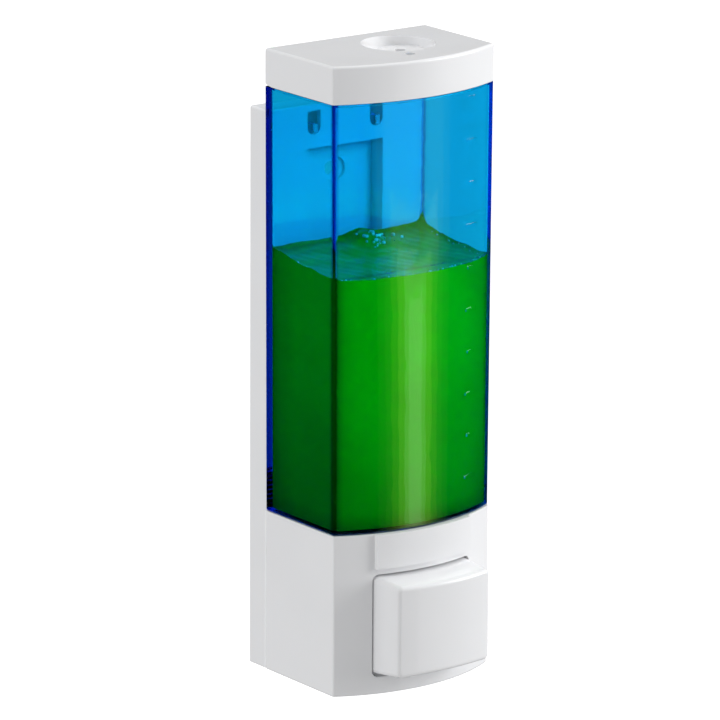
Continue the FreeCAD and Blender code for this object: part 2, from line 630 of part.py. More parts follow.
# ---- pump ---------------------------------------------------------------------------------------
PUMP_H = 24.0                    # height of the barrel's axis
BARREL_BORE_R = 7.5
BARREL_R = 9.4
BARREL_YS = (-22.0, -43.0)
BORE_END_Y = -24.2
PISTON_YS = (-38.0, -42.0)
PISTON_CORE_R = 5.2
ROD_R = 2.5
ROD_FRONT_Y = -60.0
END_CAP_YS = (-42.4, -46.2)
SOCKET_FOOT_H = 38.2
SOCKET_TOP_H = 46.6
SOCKET_R = 10.2
BALL_R = 3.0
CHANNEL_R = 2.3
CAGE_R = 3.7
CAGE_FOOT_H = 34.4
BALL_TRAVEL = 1.4
BALL_SIT = math.sqrt(BALL_R ** 2 - CHANNEL_R ** 2)
BALL_H = CAGE_FOOT_H + BALL_SIT + 0.05
SEAT_H = BALL_H + BALL_TRAVEL + BALL_SIT + 0.05
SEAT_TOP_H = SEAT_H + 1.4
STUB_FOOT_H = 9.0
STUB_R = 6.0
THROAT_R = 6.2
THROAT_FOOT_H = SOCKET_FOOT_H - 4
EAR_R = 4.2
EAR_T = 2.4
EAR_ARM_HALF = 2.5
CAGE_SLOT = (3.4, 0.6, 1.5)      # half length, half width and depth of the way past the ball
SEAT_R = 5.6
SEAL_RING_R = 6.4
PUMP_SCREW_HEAD = (2.9, 1.8)     # radius, height
PUMP_SCREW_CORE_R = 1.15
PUMP_SCREW_SLOT = (4.0, 0.4, 0.7)  # half length, half width, depth
VALVE_FLANGE = (5.5, 1.2)        # radius, thickness
VALVE_THROAT = (2.2, 3.4, 4.4)   # radius below, radius above, foot height
VALVE_HOLLOW = (0.6, 2.4, 5.4)
VALVE_SLIT = (1.6, 0.12)         # half length, half width
NOZZLE_R = 8.4
NOZZLE_TOP_H = 13.0
NOZZLE_SKIRT_H = 4.6
NOZZLE_TIP = (4.4, 6.4, 0.8)     # radius below, radius above, foot height
NOZZLE_CHAMBER = (4.6, 3.4)      # radius, foot height
NOZZLE_MOUTH_R = 1.6
FLUTE_COUNT = 12
FLUTE_R = 0.8
FLUTE_CIRCLE_R = 8.6
CAP_DISC_R = 10.6
CAP_BOSS_R = 5.6
CAP_DISC_END_Y = END_CAP_YS[1] + 1.2
LAND_T = 0.9
LAND_PLAY = 0.3
SEAL_PLAY = 0.02


def pump_body():
    """One moulding: spigot socket, valve cage, barrel, outlet stub and two screw ears."""
    solids = [rod_y(BARREL_R, 0, PUMP_H, *BARREL_YS)]
    solids.append(rod_z(SOCKET_R, 0, PUMP_Y, SOCKET_FOOT_H, SOCKET_TOP_H))
    solids.append(cone_z(THROAT_R, SOCKET_R, 0, PUMP_Y, THROAT_FOOT_H, SOCKET_FOOT_H))
    solids.append(rod_z(THROAT_R, 0, PUMP_Y, PUMP_H, SOCKET_FOOT_H))
    solids.append(rod_z(STUB_R, 0, PUMP_Y, STUB_FOOT_H, PUMP_H))
    ear_heights = (SOCKET_TOP_H - EAR_T, SOCKET_TOP_H)
    for x in (-BOSS_X, BOSS_X):
        solids.append(rod_z(EAR_R, x, PUMP_Y, *ear_heights))
        solids.append(box((0, x), (PUMP_Y - EAR_ARM_HALF, PUMP_Y + EAR_ARM_HALF), ear_heights))
    length, width, depth = CAGE_SLOT
    tools = [rod_y(BARREL_BORE_R, 0, PUMP_H, BORE_END_Y, BARREL_YS[1] - LAP)]
    tools.append(rod_z(CHANNEL_R, 0, PUMP_Y, PUMP_H, SEAT_TOP_H + LAP))
    tools.append(rod_z(CAGE_R, 0, PUMP_Y, CAGE_FOOT_H, SEAT_H))
    tools.append(box((-length, length), (PUMP_Y - width, PUMP_Y + width), (CAGE_FOOT_H - depth, SEAT_H)))
    tools.append(rod_z(SEAT_R, 0, PUMP_Y, SEAT_H, SEAT_TOP_H + LAP))
    tools.append(rod_z(SPIGOT_R + SPIGOT_PLAY, 0, PUMP_Y, SEAT_TOP_H, SOCKET_TOP_H + LAP))
    tools.append(rod_z(CHANNEL_R, 0, PUMP_Y, STUB_FOOT_H - LAP, PUMP_H))
    for x in (-BOSS_X, BOSS_X):
        tools.append(rod_z(SCREW_R, x, PUMP_Y, ear_heights[0] - LONG, ear_heights[1] + LAP))
    return cut(fuse(*solids), *tools)


def inlet_seat():
    """Ring that the ball lifts against."""
    return cut(rod_z(SEAT_R, 0, PUMP_Y, SEAT_H, SEAT_TOP_H),
               rod_z(CHANNEL_R, 0, PUMP_Y, SEAT_H - LAP, SEAT_TOP_H + LAP))


def inlet_ball():
    """Steel ball of the inlet valve, at rest on the ribs of its cage."""
    return Part.makeSphere(BALL_R, V(0, PUMP_Y, up(BALL_H)))


def inlet_seal():
    """O-ring pressed between the spigot's end and the pump body."""
    tube_r = (SPIGOT_FOOT_H - SEAT_TOP_H) / 2
    return Part.makeTorus(SEAL_RING_R, tube_r, V(0, PUMP_Y, up(SEAT_TOP_H + tube_r)))


def pump_screws():
    """Two pan-head screws that hold the pump under the deck."""
    screws = []
    head_r, head_h = PUMP_SCREW_HEAD
    length, width, depth = PUMP_SCREW_SLOT
    foot = SOCKET_TOP_H - EAR_T
    for x in (-BOSS_X, BOSS_X):
        head = rod_z(head_r, x, PUMP_Y, foot - head_h, foot)
        shank = rod_z(PUMP_SCREW_CORE_R, x, PUMP_Y, foot, PUMP_SCREW_TOP_H)
        slot = box((x - width, x + width), (PUMP_Y - length, PUMP_Y + length),
                   (foot - head_h - LAP, foot - head_h + depth))
        screws.append(cut(fuse(head, shank), slot))
    return Part.Compound(screws)


def outlet_valve():
    """Silicone duckbill: clamped flange, tapering bill with a slit."""
    flange_r, flange_t = VALVE_FLANGE
    low_r, high_r, foot = VALVE_THROAT
    mouth_r, way_r, hollow_foot = VALVE_HOLLOW
    length, width = VALVE_SLIT
    flange = rod_z(flange_r, 0, PUMP_Y, STUB_FOOT_H - flange_t, STUB_FOOT_H)
    throat = cone_z(low_r, high_r, 0, PUMP_Y, foot, STUB_FOOT_H - flange_t)
    hollow = cone_z(mouth_r, way_r, 0, PUMP_Y, hollow_foot, STUB_FOOT_H + LAP / 10)
    slit = box((-length, length), (PUMP_Y - width, PUMP_Y + width), (foot - LAP, hollow_foot + LAP / 2))
    return cut(fuse(flange, throat), hollow, slit)


def nozzle():
    """Screwed outlet nozzle with grip flutes and a drip tip."""
    low_r, high_r, foot = NOZZLE_TIP
    chamber_r, chamber_foot = NOZZLE_CHAMBER
    skirt = rod_z(NOZZLE_R, 0, PUMP_Y, NOZZLE_SKIRT_H, NOZZLE_TOP_H)
    tip = cone_z(low_r, high_r, 0, PUMP_Y, foot, NOZZLE_SKIRT_H)
    flutes = []
    for step in range(FLUTE_COUNT):
        angle = 2 * math.pi * step / FLUTE_COUNT
        x, y = FLUTE_CIRCLE_R * math.cos(angle), PUMP_Y + FLUTE_CIRCLE_R * math.sin(angle)
        flutes.append(rod_z(FLUTE_R, x, y, NOZZLE_SKIRT_H - LAP, NOZZLE_TOP_H + LAP))
    tools = [rod_z(STUB_R + RUNNING, 0, PUMP_Y, STUB_FOOT_H - VALVE_FLANGE[1], NOZZLE_TOP_H + LAP)]
    tools.append(rod_z(chamber_r, 0, PUMP_Y, chamber_foot, STUB_FOOT_H))
    tools.append(rod_z(NOZZLE_MOUTH_R, 0, PUMP_Y, foot - LAP, chamber_foot + LAP))
    return cut(fuse(skirt, tip), *flutes, *tools)


def pump_end_cap():
    """Screwed cap that guides the piston rod and stops the piston."""
    collar = rod_y(BARREL_BORE_R - RUNNING, 0, PUMP_H, END_CAP_YS[0], BARREL_YS[1])
    disc = rod_y(CAP_DISC_R, 0, PUMP_H, BARREL_YS[1], CAP_DISC_END_Y)
    boss = rod_y(CAP_BOSS_R, 0, PUMP_H, BARREL_YS[1], END_CAP_YS[1])
    return cut(fuse(collar, disc, boss),
               rod_y(ROD_R + RUNNING, 0, PUMP_H, END_CAP_YS[0] + LAP, END_CAP_YS[1] - LAP))


def piston_rod():
    """Rod with a grooved piston head."""
    rod = rod_y(ROD_R, 0, PUMP_H, PISTON_YS[0], ROD_FRONT_Y)
    core = rod_y(PISTON_CORE_R, 0, PUMP_H, *PISTON_YS)
    lands = [rod_y(BARREL_BORE_R - LAND_PLAY, 0, PUMP_H, y, y + step)
             for y, step in ((PISTON_YS[0], -LAND_T), (PISTON_YS[1], LAND_T))]
    return fuse(rod, core, *lands)


def piston_seal():
    """Ring seal in the piston's groove."""
    ys = (PISTON_YS[0] - LAND_T, PISTON_YS[1] + LAND_T)
    return cut(rod_y(BARREL_BORE_R - SEAL_PLAY, 0, PUMP_H, *ys), rod_y(PISTON_CORE_R, 0, PUMP_H, *ys))


# ---- button -------------------------------------------------------------------------------------
BUTTON_WALL = 2.0
SPRING_YS = (END_CAP_YS[1] - 0.05, -57.5)
SPRING_R = 4.6
SPRING_WIRE_R = 0.4
SPRING_TURNS = 5.0
SEAT_YS = (-57.55, -58.6)
BUTTON_BASE_Y = -46.5
BUTTON_PLANE_Y = -70.0           # the form is drawn to here, then cut to its bowed front
BUTTON_DRAFT = (1.1, 3.0, 1.4)   # at each side, at the foot and at the top, over that length
BUTTON_SIDE_R = 2.0
BUTTON_FRONT_R = 1.5
LUG_YS = (-46.5, -44.4)
LUG_END_X = 26.5
LUG_ROOT_YS = (-48.5, -44.4)
LUG_ROOT_X = 21.3
STEM_R = 4.0
STEM_END_Y = -66.0
SPRING_SEAT_R = 6.6
WEB_T = 1.4
WEB_START_Y = -59.5
WEB_HALF_X = 16.0
WEB_DOWN, WEB_UP = 13.0, 12.0


def button_form(inset, skin=0.0):
    """Pillowed block of the button, narrower at its front."""
    at_side, at_foot, at_top = BUTTON_DRAFT
    wires = []
    for y, half_w, foot, top in ((BUTTON_BASE_Y, BUTTON_W / 2, BUTTON_FOOT_H, BUTTON_TOP_H),
                                 (BUTTON_PLANE_Y, BUTTON_W / 2 - at_side, BUTTON_FOOT_H + at_foot,
                                  BUTTON_TOP_H - at_top)):
        half = half_w - inset
        low, high = foot + inset, top - inset
        corners = [V(-half, y, up(low)), V(half, y, up(low)), V(half, y, up(high)), V(-half, y, up(high))]
        wires.append(Part.makePolygon(corners + corners[:1]))
    block = Part.makeLoft(wires, True, True)
    long_edges = [e for e in block.Edges if e.BoundBox.YLength > LONG]
    block = block.makeFillet(BUTTON_SIDE_R - inset * 0.4, long_edges)
    radius, centre = front_arc(HOUSING)
    reach = radius + BUTTON_REACH - skin
    tube = Part.makeCylinder(reach, OVERALL_H, V(0, centre, BASE_Z - LONG), V(0, 0, 1))
    return block.common(tube)


def button_flange():
    """Bowed frame behind the opening, which stops the button on its way out."""
    half = BUTTON_W / 2 + FLANGE_LAP
    slab = cut(prism(HOUSING, WALL + GAP, 0, DECK_UNDER_H),
               prism(HOUSING, WALL + GAP + FLANGE_T, -LAP, OVERALL_H))
    heights = (BUTTON_FOOT_H - FLANGE_LAP, BUTTON_TOP_H + FLANGE_LAP)
    return slab.common(box((-half, half), FRONT_YS, heights))


def button():
    """Hollow push button with stop flange, guide lugs and a socket for the rod."""
    outer = button_form(0)
    front = [e for e in outer.Edges if e.BoundBox.YMax < ROD_FRONT_Y and e.Length > LONG]
    outer = outer.makeFillet(BUTTON_FRONT_R, front)
    pieces = [outer, button_flange()]
    for side in (-1, 1):
        heights = (BUTTON_MID_H - RAIL_HALF_GAP, BUTTON_MID_H + RAIL_HALF_GAP)
        root_x = side * (BUTTON_W / 2 - LAP)
        pieces.append(box((root_x, side * LUG_END_X), LUG_YS, heights))
        pieces.append(box((root_x, side * LUG_ROOT_X), LUG_ROOT_YS, heights))
    body = cut(fuse(*pieces), button_form(BUTTON_WALL, BUTTON_WALL))
    stem = rod_y(STEM_R, 0, PUMP_H, SEAT_YS[0], STEM_END_Y)
    seat = rod_y(SPRING_SEAT_R, 0, PUMP_H, *SEAT_YS)
    web_ys = (WEB_START_Y, STEM_END_Y)
    webs = [box((-WEB_HALF_X, WEB_HALF_X), web_ys, (PUMP_H - WEB_T / 2, PUMP_H + WEB_T / 2)),
            box((-WEB_T / 2, WEB_T / 2), web_ys, (PUMP_H - WEB_DOWN, PUMP_H + WEB_UP))]
    core = fuse(stem, seat, *webs).common(button_form(LAP / 2, LAP / 2))
    return cut(fuse(body, core), rod_y(ROD_R + RUNNING, 0, PUMP_H, ROD_FRONT_Y - 0.1, SPRING_YS[0]))


def return_spring():
    """Compression spring between the end cap and the button's seat."""
    y0 = SPRING_YS[0] - SPRING_WIRE_R
    length = abs(SPRING_YS[1] - SPRING_YS[0]) - 2 * SPRING_WIRE_R
    helix = Part.makeHelix(length / SPRING_TURNS, length, SPRING_R)
    profile = Part.Wire(Part.makeCircle(SPRING_WIRE_R, V(SPRING_R, 0, 0), V(0, 1, 0)))
    coil = Part.Wire(helix).makePipeShell([profile], True, True)
    coil.rotate(V(0, 0, 0), V(1, 0, 0), 90)
    coil.translate(V(0, y0, up(PUMP_H)))
    return coil


# ---- output -------------------------------------------------------------------------------------
NODES = (wall_plate, tank, soap_gel, tank_gasket, tank_nut, housing, rear_cover, rear_cover_screws,
         lid, lid_hinge_pins, lid_bolt, bolt_cover, bolt_cover_screws, pump_body, inlet_seat, inlet_ball,
         inlet_seal, pump_screws, outlet_valve, nozzle, pump_end_cap, piston_rod, piston_seal, button,
         return_spring)


def main():
    """Write one STEP file per node."""
    os.makedirs("parts", exist_ok=True)
    for make in NODES:
        shape = make()
        shape.exportStep(f"parts/{make.__name__}.step")
        size = shape.BoundBox
        print(f"{make.__name__:20s} {shape.Volume:10.1f} mm3 solids {len(shape.Solids)}"
              f" valid {shape.isValid()} z {size.ZMin:.1f}..{size.ZMax:.1f}"
              f" y {size.YMin:.1f}..{size.YMax:.1f}")


main()
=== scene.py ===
"""Looks of the wall mounted soap dispenser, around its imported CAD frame. Metres, +Z up, -Y to the front."""

import json
import math
import random

import bmesh
import bpy
from mathutils import Matrix, Vector


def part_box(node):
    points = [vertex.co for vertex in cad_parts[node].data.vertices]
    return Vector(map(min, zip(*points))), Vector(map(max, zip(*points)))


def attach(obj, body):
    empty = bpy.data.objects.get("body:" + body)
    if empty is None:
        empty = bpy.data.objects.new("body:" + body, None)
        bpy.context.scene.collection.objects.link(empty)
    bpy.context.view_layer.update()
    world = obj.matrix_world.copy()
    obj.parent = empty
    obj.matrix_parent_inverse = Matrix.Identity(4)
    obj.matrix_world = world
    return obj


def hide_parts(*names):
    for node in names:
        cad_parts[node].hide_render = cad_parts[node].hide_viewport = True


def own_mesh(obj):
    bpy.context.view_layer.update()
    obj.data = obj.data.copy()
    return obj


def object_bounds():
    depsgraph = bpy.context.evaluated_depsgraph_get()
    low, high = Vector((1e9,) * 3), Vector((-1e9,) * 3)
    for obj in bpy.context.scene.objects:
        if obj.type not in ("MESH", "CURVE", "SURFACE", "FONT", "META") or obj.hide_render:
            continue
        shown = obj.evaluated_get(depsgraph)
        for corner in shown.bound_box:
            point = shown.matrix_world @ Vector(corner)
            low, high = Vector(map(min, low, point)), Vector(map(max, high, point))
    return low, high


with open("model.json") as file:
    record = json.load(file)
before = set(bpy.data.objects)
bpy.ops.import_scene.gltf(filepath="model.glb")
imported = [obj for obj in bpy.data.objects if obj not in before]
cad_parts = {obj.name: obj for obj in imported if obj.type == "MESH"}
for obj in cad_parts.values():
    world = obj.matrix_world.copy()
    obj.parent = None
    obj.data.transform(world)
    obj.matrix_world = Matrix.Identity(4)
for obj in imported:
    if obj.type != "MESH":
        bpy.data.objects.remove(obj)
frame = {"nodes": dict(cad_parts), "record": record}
CAD_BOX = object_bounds()
LOW = Vector(CAD_BOX[0])
FOOT_Z = -0.105                  # base of the hanging body


# ---- node helpers -------------------------------------------------------------------------------
def new_material(name):
    """Empty material with its output node."""
    material = bpy.data.materials.new(name)
    material.use_nodes = True
    tree = material.node_tree
    tree.nodes.clear()
    out = tree.nodes.new("ShaderNodeOutputMaterial")
    return material, tree, out


def add(tree, kind, settings=None, **inputs):
    """New node with its settings and input values."""
    node = tree.nodes.new(kind)
    for key, value in (settings or {}).items():
        setattr(node, key, value)
    for key, value in inputs.items():
        node.inputs[key.replace("_", " ")].default_value = value
    return node


def link(tree, source, output, target, entry):
    """Join two sockets by name."""
    tree.links.new(source.outputs[output], target.inputs[entry])


def coordinates(tree, scale=(1, 1, 1)):
    """Object coordinates, stretched."""
    coords = add(tree, "ShaderNodeTexCoord")
    mapping = add(tree, "ShaderNodeMapping", Scale=scale)
    link(tree, coords, "Object", mapping, "Vector")
    return mapping


def noise(tree, source, scale, detail=4.0, roughness=0.5):
    """Noise texture on the given coordinates."""
    node = add(tree, "ShaderNodeTexNoise", Scale=scale, Detail=detail, Roughness=roughness)
    link(tree, source, "Vector", node, "Vector")
    return node


def ramp(tree, source, output, low, high, low_colour, high_colour):
    """Two-stop colour ramp driven by a socket."""
    node = add(tree, "ShaderNodeValToRGB")
    stops = node.color_ramp.elements
    stops[0].position, stops[1].position = low, high
    stops[0].color, stops[1].color = (*low_colour, 1), (*high_colour, 1)
    link(tree, source, output, node, "Fac")
    return node


def spread(tree, source, output, low, high):
    """Maps 0 to 1 onto low to high."""
    node = add(tree, "ShaderNodeMapRange")
    node.inputs["To Min"].default_value = low
    node.inputs["To Max"].default_value = high
    link(tree, source, output, node, "Value")
    return node


def stretch(tree, source, output, places, values):
    """Piecewise straight curve from places to values, as a grey ramp over the first to last place."""
    scale = add(tree, "ShaderNodeMapRange")
    scale.inputs["From Min"].default_value = places[0]
    scale.inputs["From Max"].default_value = places[-1]
    link(tree, source, output, scale, "Value")
    node = add(tree, "ShaderNodeValToRGB")
    stops = node.color_ramp.elements
    while len(stops) < len(places):
        stops.new(0.5)
    for stop, place, value in zip(stops, places, values):
        stop.position = (place - places[0]) / (places[-1] - places[0])
        stop.color = (value, value, value, 1)
    link(tree, scale, "Result", node, "Fac")
    return node


def combine(tree, operation, first, second):
    """Math node on the first outputs of two nodes."""
    node = add(tree, "ShaderNodeMath", {"operation": operation})
    tree.links.new(first.outputs[0], node.inputs[0])
    tree.links.new(second.outputs[0], node.inputs[1])
    return node


def axes(tree, source, output):
    """X, Y and Z of a vector as separate outputs."""
    node = add(tree, "ShaderNodeSeparateXYZ")
    link(tree, source, output, node, "Vector")
    return node


def bump(tree, source, output, strength, distance, shader):
    """Bump from a height socket into a shader's normal."""
    node = add(tree, "ShaderNodeBump", Strength=strength, Distance=distance)
    link(tree, source, output, node, "Height")
    link(tree, node, "Normal", shader, "Normal")
    return node


# ---- materials ----------------------------------------------------------------------------------
def white_plastic(name, shade, gloss):
    """Moulded white plastic: faint cloudiness, fine spark texture and uneven gloss."""
    material, tree, out = new_material(name)
    shader = add(tree, "ShaderNodeBsdfPrincipled")
    place = coordinates(tree)
    cloud = noise(tree, place, 35.0, 3.0)
    warm = tuple(v * 0.985 for v in shade)
    tint = ramp(tree, cloud, "Fac", 0.35, 0.65, warm, shade)
    link(tree, tint, "Color", shader, "Base Color")
    grain = noise(tree, place, 900.0, 4.0, 0.6)
    rough = spread(tree, cloud, "Fac", gloss * 0.85, gloss * 1.25)
    link(tree, rough, "Result", shader, "Roughness")
    bump(tree, grain, "Fac", 0.06, 0.0002, shader)
    shader.inputs["IOR"].default_value = 1.53
    shader.inputs["Subsurface Weight"].default_value = 0.08
    shader.inputs["Subsurface Radius"].default_value = (1.0, 0.9, 0.8)
    shader.inputs["Subsurface Scale"].default_value = 0.0015
    link(tree, shader, "BSDF", out, "Surface")
    return material


# places along X and Y, and how much of the painted corner shade each has
CORNER_SHADE_X = ((-0.0322, -0.0312, -0.0304, 0.0304, 0.0312, 0.0322), (1, 1, 0, 0, 1, 1))
CORNER_SHADE_Y = ((-0.048, -0.0456, -0.0446, -0.0124, -0.0112, -0.009), (1, 1, 0, 0, 1, 1))
# the wall's own blue, then painted shade: a darker blue laid on the upright corners
WALL_TINT, CORNER_PAINTED_SHADE = (0.36, 0.8, 1.0), (0.005, 0.16, 0.62)


def clear_blue():
    """Clear blue moulded plastic that deepens with the light's path, with painted shade that darkens its
    colour at the upright corners.
    """
    material, tree, out = new_material("clear_blue")
    shader = add(tree, "ShaderNodeBsdfPrincipled")
    shader.inputs["Transmission Weight"].default_value = 1.0
    shader.inputs["IOR"].default_value = 1.5
    split = axes(tree, coordinates(tree), "Vector")
    # painted shade: the base colour turns to the darker corner blue towards the upright corners
    at_sides = stretch(tree, split, "X", *CORNER_SHADE_X)
    at_ends = stretch(tree, split, "Y", *CORNER_SHADE_Y)
    corner = combine(tree, "MULTIPLY", at_sides, at_ends)
    tint = ramp(tree, corner, "Value", 0.0, 1.0, WALL_TINT, CORNER_PAINTED_SHADE)
    link(tree, tint, "Color", shader, "Base Color")
    place = coordinates(tree, (1, 1, 0.35))
    ripple = noise(tree, place, 60.0, 2.0)
    rough = spread(tree, ripple, "Fac", 0.015, 0.05)
    link(tree, rough, "Result", shader, "Roughness")
    bump(tree, ripple, "Fac", 0.05, 0.0004, shader)
    link(tree, shader, "BSDF", out, "Surface")
    depth = add(tree, "ShaderNodeVolumeAbsorption", Color=(0.0, 0.92, 0.987, 1), Density=688.0)
    link(tree, depth, "Volume", out, "Volume")
    return material


def green_gel(name, rough, specular):
    """Green soap, with painted shade that darkens its colour along the upright corners, towards the back and
    near the tank's floor.
    """
    material, tree, out = new_material(name)
    shader = add(tree, "ShaderNodeBsdfPrincipled", Roughness=rough)
    shader.inputs["Specular IOR Level"].default_value = specular
    place = coordinates(tree)
    cloud = noise(tree, place, 45.0, 5.0)
    tint = ramp(tree, cloud, "Fac", 0.3, 0.7, (0.001, 0.38, 0.0), (0.006, 0.46, 0.001))
    split = axes(tree, place, "Vector")
    # painted shade: these masks darken the soap's colour along the upright corners, towards the back and near
    # the tank's floor
    side = stretch(tree, split, "Y", (-0.0462, -0.0447, -0.0425, -0.025, -0.016, -0.0115),
                   (1.0, 0.5, 0.85, 0.95, 0.75, 0.5))
    across = stretch(tree, split, "X", (-0.0306, -0.029, -0.024, -0.012, 0.018, 0.0305),
                     (0.4, 0.72, 0.9, 1.0, 1.0, 0.72))
    on_side = stretch(tree, split, "Y", (-0.0458, -0.0444), (0.0, 1.0))
    foot = stretch(tree, split, "Z", (FOOT_Z + 0.0555, FOOT_Z + 0.062, FOOT_Z + 0.08, FOOT_Z + 0.112),
                   (0.3, 0.55, 0.74, 1.0))
    front_only = combine(tree, "MAXIMUM", across, on_side)
    upright = combine(tree, "MULTIPLY", front_only, side)
    level = combine(tree, "MULTIPLY", upright, foot)
    # the soap's green, scaled down by the painted shade
    painted_shade_colour = add(tree, "ShaderNodeVectorMath", {"operation": "SCALE"})
    link(tree, tint, "Color", painted_shade_colour, "Vector")
    link(tree, level, "Value", painted_shade_colour, "Scale")
    link(tree, painted_shade_colour, "Vector", shader, "Base Color")
    bump(tree, noise(tree, place, 140.0, 3.0), "Fac", 0.12, 0.0005, shader)
    link(tree, shader, "BSDF", out, "Surface")
    return material


def foam():
    """Pale glossy film of the soap's bubbles."""
    material, tree, out = new_material("soap_foam")
    shader = add(tree, "ShaderNodeBsdfPrincipled")
    cells = noise(tree, coordinates(tree), 900.0, 2.0)
    tint = ramp(tree, cells, "Fac", 0.35, 0.65, (0.12, 0.5, 0.3), (0.7, 0.95, 0.9))
    link(tree, tint, "Color", shader, "Base Color")
    level = spread(tree, cells, "Fac", 0.08, 0.2)
    link(tree, level, "Result", shader, "Roughness")
    link(tree, shader, "BSDF", out, "Surface")
    return material


def rubber(name, colour, rough):
    """Matt rubber or silicone with a fine bloom."""
    material, tree, out = new_material(name)
    shader = add(tree, "ShaderNodeBsdfPrincipled")
    grain = noise(tree, coordinates(tree), 700.0, 3.0)
    pale = tuple(min(1, v * 1.25 + 0.01) for v in colour)
    tint = ramp(tree, grain, "Fac", 0.3, 0.7, colour, pale)
    link(tree, tint, "Color", shader, "Base Color")
    level = spread(tree, grain, "Fac", rough * 0.85, rough)
    link(tree, level, "Result", shader, "Roughness")
    bump(tree, grain, "Fac", 0.1, 0.0001, shader)
    link(tree, shader, "BSDF", out, "Surface")
    return material


def steel():
    """Bright steel with fine turning marks."""
    material, tree, out = new_material("steel")
    shader = add(tree, "ShaderNodeBsdfPrincipled", Metallic=1.0)
    marks = noise(tree, coordinates(tree, (1, 1, 14)), 300.0, 4.0)
    tint = ramp(tree, marks, "Fac", 0.3, 0.7, (0.56, 0.56, 0.57), (0.72, 0.72, 0.73))
    link(tree, tint, "Color", shader, "Base Color")
    level = spread(tree, marks, "Fac", 0.18, 0.34)
    link(tree, level, "Result", shader, "Roughness")
    bump(tree, marks, "Fac", 0.08, 0.0001, shader)
    link(tree, shader, "BSDF", out, "Surface")
    return material


# ---- soap ---------------------------------------------------------------------------------------
TANK_BACK_Y = -0.0094
TANK_FOOT_Z, TANK_TOP_Z = FOOT_Z + 0.0547, FOOT_Z + 0.1974
# width, depth of the flat side and bow of the front, at the tank's foot and top
FOOT_SECTION = (0.0635, 0.0371, 0.0083)
TOP_SECTION = (0.065, 0.0366, 0.0076)
GEL_INSET = 0.00215              # a touch inside the wall, so that no air shows between them
BACK_AIR = 0.0025                # behind the soap a hair of air stays, so the wall's edge glows
GEL_FOOT_Z = TANK_FOOT_Z + 0.0014
GEL_RIM_Z = FOOT_Z + 0.141       # the tank's section is taken here for the upper surface
# Y and height above the base of the soap's surface
GEL_TOP = ((-0.06, 0.1391), (-0.046, 0.1392), (-0.029, 0.1405), (-0.011, 0.1434), (-0.005, 0.1444))
CREEP = 0.0011                   # how far the soap creeps up a wall
CREEP_REACH, FRONT_CREEP_REACH, CORNER_REACH = 0.0007, 0.0006, 0.0016
FRONT_CREEP, CORNER_CREEP = 0.35, 2.4        # as shares of CREEP, at the front and the right rear corner
MOUND = (0.004, -0.0155, 0.005, 0.0026)      # x, y, radius, height
SLOW_WAVE, FINE_WAVE = 0.00018, 0.0001
COLUMNS, ROWS = 90, 60
LEVEL = 0.3                      # faces whose normal rises or sinks more than this are smooth
SEED = 11
CLUSTER_BUBBLES, FRONT_BUBBLES, SIDE_BUBBLES = 34, 26, 16
CLUSTER_X, CLUSTER_Y = (0.006, 0.0032), (-0.0185, 0.0035)    # mean and spread
CLUSTER_RADII, WALL_RADII = (0.0002, 0.0007), (0.00015, 0.0004)
FRONT_XS, FRONT_GAPS = (-0.029, 0.029), (0.0004, 0.0012)
SIDE_XS, SIDE_YS = (0.0285, 0.0298), (-0.042, -0.014)
BUBBLE_LEVEL_Z = FOOT_Z + 0.14
BUBBLE_BACK_Y = TANK_BACK_Y - 0.0035
BUBBLE_RISE = 0.3                # of its radius, from the surface to its middle


def section_at(z):
    """Half width, back Y and the bowed front's radius and centre inside the tank's wall at z."""
    share = (z - TANK_FOOT_Z) / (TANK_TOP_Z - TANK_FOOT_Z)
    width, side, bow = (a + (b - a) * share for a, b in zip(FOOT_SECTION, TOP_SECTION))
    radius = (width ** 2 / 4 + bow ** 2) / (2 * bow)
    centre = TANK_BACK_Y - side - bow + radius
    return width / 2 - GEL_INSET, TANK_BACK_Y - BACK_AIR, radius - GEL_INSET, centre


def front_y(z, x):
    """Y of the soap's bowed front."""
    _, _, radius, centre = section_at(z)
    return centre - math.sqrt(radius ** 2 - x ** 2)


def gel_height(x, y):
    """Z of the soap's surface: higher at the back, crept up the walls, with a mound and slow waves."""
    level = GEL_TOP[-1][1]
    for (y0, h0), (y1, h1) in zip(GEL_TOP, GEL_TOP[1:]):
        if y0 <= y <= y1:
            level = h0 + (h1 - h0) * (y - y0) / (y1 - y0)
    z = FOOT_Z + level
    half, back, _, _ = section_at(z)
    creep = sum(math.exp(-max(0.0, d) / CREEP_REACH) for d in (half - abs(x), back - y))
    creep += FRONT_CREEP * math.exp(-max(0.0, y - front_y(z, x)) / FRONT_CREEP_REACH)
    creep += CORNER_CREEP * math.exp(-math.hypot(half - x, back - y) / CORNER_REACH)
    px, py, reach, rise = MOUND
    mound = rise * math.exp(-((x - px) ** 2 + (y - py) ** 2) / reach ** 2)
    wave = SLOW_WAVE * math.sin(x * 310 + 1.3) * math.sin(y * 420)
    wave += FINE_WAVE * math.sin(x * 900) * math.sin(y * 730 + x * 500)
    return z + CREEP * creep + mound + wave


def new_piece(name, build, material):
    """Object from a finished bmesh."""
    mesh = bpy.data.meshes.new(name)
    build.to_mesh(mesh)
    build.free()
    body = bpy.data.objects.new(name, mesh)
    bpy.context.collection.objects.link(body)
    mesh.materials.append(material)
    return body


def soap_grid(build, z, place):
    """Rows of new points over the tank's section at z, closer near the walls, where place puts them."""
    grid = []
    half, back, _, _ = section_at(z)
    for row in range(ROWS + 1):
        share_y = 0.5 - 0.5 * math.cos(math.pi * row / ROWS)
        grid.append([])
        for column in range(COLUMNS + 1):
            x = -half * math.cos(math.pi * column / COLUMNS)
            y = front_y(z, x)
            y += (back - y) * share_y
            grid[-1].append(build.verts.new(place(x, y)))
    return grid


def rim(grid):
    """The points round a grid's border, in order."""
    right = [line[-1] for line in grid[1:]]
    left = [line[0] for line in grid[-2:0:-1]]
    return grid[0] + right + grid[-1][-2::-1] + left


